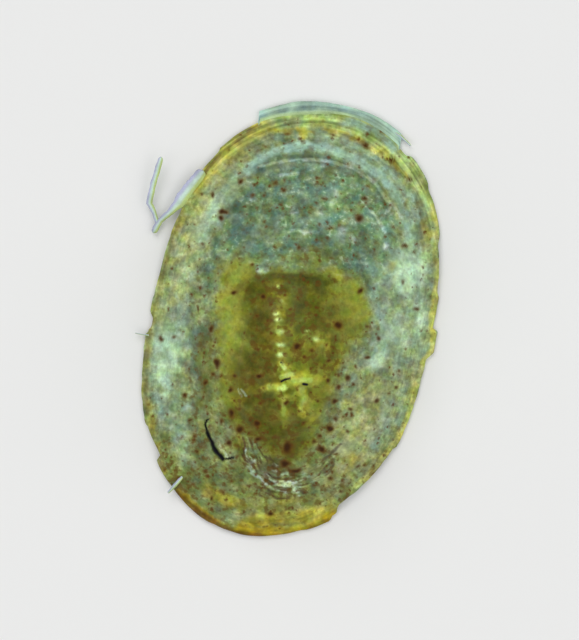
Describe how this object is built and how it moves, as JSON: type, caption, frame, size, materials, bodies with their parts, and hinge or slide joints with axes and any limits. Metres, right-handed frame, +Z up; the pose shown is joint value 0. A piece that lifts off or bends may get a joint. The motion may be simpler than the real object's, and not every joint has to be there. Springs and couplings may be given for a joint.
{
  "type": "limpet shell",
  "caption": "Thin oval freshwater limpet shell: a low one-piece cap with a blunt apex behind the middle, growth rings and a clear lip, broken and torn along the rim.",
  "frame": {"origin": "middle of the box, on the plane that the rim stands on", "axes": "+Z up through the apex side, +Y the shell's front along its length, +X the shell's right"},
  "size_m": [0.0026, 0.0036, 0.0012],
  "materials": {
    "shell": "thin grown shell, smooth and slightly glossy, speckled greenish grey with an olive middle and a clear front lip"
  },
  "bodies": {
    "root": {"shell": "shell"}
  },
  "joints": []
}
